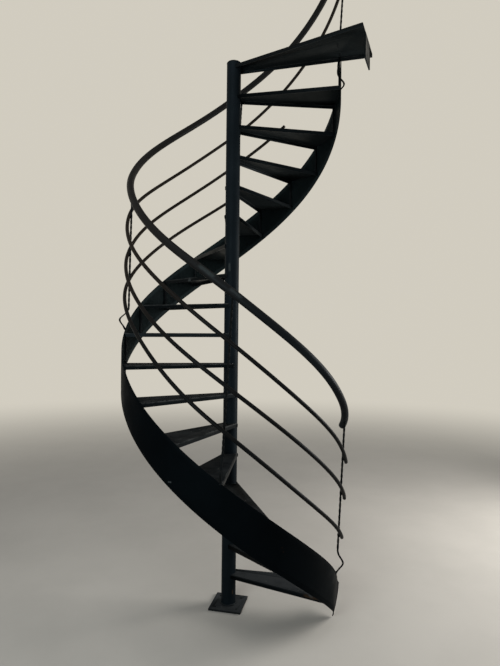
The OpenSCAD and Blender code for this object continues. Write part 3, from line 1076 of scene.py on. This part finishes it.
def weld_railing(bars):
    """Lumps at the bars' feet and where they touch the lower rails, and beads round their saddles."""
    bm = bmesh.new()
    weld_side = BAR_SIDE + 2 * SADDLE_BEAD_OUT
    weld_outline = rounded_box(weld_side, weld_side, SADDLE_CORNER)
    for bar in bars:
        for (out, up), size in ((BAR_OUTER_PLACE, BAR_OUTER_LUMP), (BAR_INNER_PLACE, BAR_INNER_LUMP)):
            foot = on_stringer(bar.foot, edge_height(bar.foot) + up) + direction(bar.foot) * out
            blob(bm, foot, size, bar.foot)
        for rail in MID_RAILS:
            height = bar.meet(rail)
            turn = bar.turn(height)
            if rail.first < turn < rail.last:
                touch = direction(turn) * (rail.reach(turn) - rail.tube)
                touch += upward(edge_height(turn) + rail.height(turn)) + lean(height)
                for up in (-RAIL_LUMP_OFFSET, RAIL_LUMP_OFFSET):
                    blob(bm, touch + upward(up), RAIL_LUMP, turn)
        top = bar.saddle(weld_outline, SADDLE_WELD_SINK)
        loop = []
        for i in range(len(top) + 2):
            this, following = top[i % len(top)], top[(i + 1) % len(top)]
            loop += [this, this.lerp(following, 0.5)]
        bead(bm, loop, SADDLE_BEAD)
    add(new_object("welds_railing", bm, weld_paint, smooth_angle=80))


make_pole()
make_stringer()
for n in range(1, RISERS):
    softened(f"tread_{n:02d}", tread_paint, TREAD_EASE, n)
softened("landing_plate", tread_paint, TREAD_EASE, RISERS)
softened("base_plate", foot_paint, PLATE_EASE)
softened("pole_cap", frame_paint, CAP_EASE)
make_rail(HANDRAIL, HANDRAIL_SIDES, handrail_paint, start=PLUGGED_END)
for rail in MID_RAILS:
    make_rail(rail, MID_RAIL_SIDES, rail_paint)
bars = [Bar(number) for number in range(len(BAR_FEET))]
for bar in bars:
    make_bar(bar)
weld_treads()
weld_foot()
weld_railing(bars)


# Camera at the photograph's place: its height, distance and turn come from the picture's geometry
CAMERA_PLACE = Vector((0.2113, -3.1228, 1.6621))
CAMERA_YAW = -0.02999
CAMERA_PITCH = 0.00819
CAMERA_ROLL = 0.01037
FOCAL_LENGTH = 36.03
SENSOR_WIDTH = 36.0

# Background, soft light from all around, and a floor that fades into the background far away
BACKGROUND_COLOUR = (0.64, 0.605, 0.525)
AROUND_COLOUR = (0.27, 0.28, 0.29)
FLOOR_COLOUR = (0.48, 0.45, 0.405)
FLOOR_RADIUS = 60
FLOOR_FADE_START = 2.5
FLOOR_FADE_END = 11.0

# Middle of the stair, which the lamps point at
LAMP_TARGET = (0, 0, 1.8)


def make_camera():
    data = bpy.data.cameras.new("photo_camera")
    data.sensor_fit = "HORIZONTAL"
    data.sensor_width = SENSOR_WIDTH
    data.lens = FOCAL_LENGTH
    data.clip_end = 200
    camera = bpy.data.objects.new("photo_camera", data)
    ahead = Vector((math.sin(CAMERA_YAW), math.cos(CAMERA_YAW), 0))
    forward = ahead * math.cos(CAMERA_PITCH) + upward(math.sin(CAMERA_PITCH))
    right = Vector((math.cos(CAMERA_YAW), -math.sin(CAMERA_YAW), 0))
    up = right.cross(forward)
    rolled_right = right * math.cos(CAMERA_ROLL) + up * math.sin(CAMERA_ROLL)
    rolled_up = up * math.cos(CAMERA_ROLL) - right * math.sin(CAMERA_ROLL)
    turn = Matrix((rolled_right, rolled_up, -forward)).transposed()
    camera.matrix_world = Matrix.Translation(CAMERA_PLACE) @ turn.to_4x4()
    bpy.context.scene.collection.objects.link(camera)
    bpy.context.scene.camera = camera


def make_floor():
    """Pale floor that keeps the shadow near the stair and fades into the background far away."""
    bm = bmesh.new()
    bmesh.ops.create_circle(bm, cap_ends=True, segments=96, radius=FLOOR_RADIUS)
    mesh = bpy.data.meshes.new("floor")
    bm.to_mesh(mesh)
    bm.free()
    floor = bpy.data.objects.new("floor", mesh)
    bpy.context.scene.collection.objects.link(floor)
    s = Shader("floor_pale")
    stains = s.band(s.noise(1.3, 5.0), 0.3, 0.7)
    darker = opaque(c * 0.93 for c in FLOOR_COLOUR)
    s.put(s.bsdf.inputs["Base Color"], s.mix(stains, darker, opaque(FLOOR_COLOUR)))
    s.put(s.bsdf.inputs["Roughness"], 0.7)
    s.put(s.bsdf.inputs["Specular IOR Level"], 0.2)
    far = s.node("ShaderNodeEmission", {"Color": opaque(BACKGROUND_COLOUR)})
    distance = s.vector("LENGTH", s.place)
    fade = s.times(s.band(distance, FLOOR_FADE_START, FLOOR_FADE_END), s.seen())
    s.put(s.output.inputs[0], s.mix_shader(fade, s.bsdf.outputs[0], far.outputs[0]))
    mesh.materials.append(s.material)


def make_world():
    """Plain background where the camera looks, soft light from all around elsewhere."""
    world = bpy.data.worlds.new("soft_light")
    bpy.context.scene.world = world
    w = Wiring(world)
    colours = [opaque(colour) for colour in (AROUND_COLOUR, BACKGROUND_COLOUR)]
    around, behind = [w.node("ShaderNodeBackground", {"Color": c, "Strength": 1.0}) for c in colours]
    w.node("ShaderNodeOutputWorld", {0: w.mix_shader(w.seen(), around.outputs[0], behind.outputs[0])})


def make_lamp(name, place, size, power, colour, target=LAMP_TARGET):
    """Soft rectangular lamp that points at its target and is not seen itself."""
    data = bpy.data.lights.new(name, "AREA")
    data.shape = "RECTANGLE"
    data.size, data.size_y = size
    data.energy = power
    data.color = colour
    lamp = bpy.data.objects.new(name, data)
    lamp.location = place
    aim = Vector(target) - Vector(place)
    lamp.rotation_euler = aim.to_track_quat("-Z", "Y").to_euler()
    lamp.visible_camera = False
    bpy.context.scene.collection.objects.link(lamp)


make_camera()
make_floor()
make_world()
make_lamp("right", (4.0, 0.8, 1.8), (2.0, 2.2), 185, (1.0, 0.99, 0.97))
make_lamp("above", (-0.5, -2.0, 4.5), (2.0, 1.6), 28, (0.95, 0.98, 1.0))
make_lamp("front", (-1.3, -3.6, 2.0), (1.8, 1.8), 90, (0.90, 0.98, 1.0), target=(0.2, 0, 2.4))
bpy.context.scene.view_settings.view_transform = "Standard"
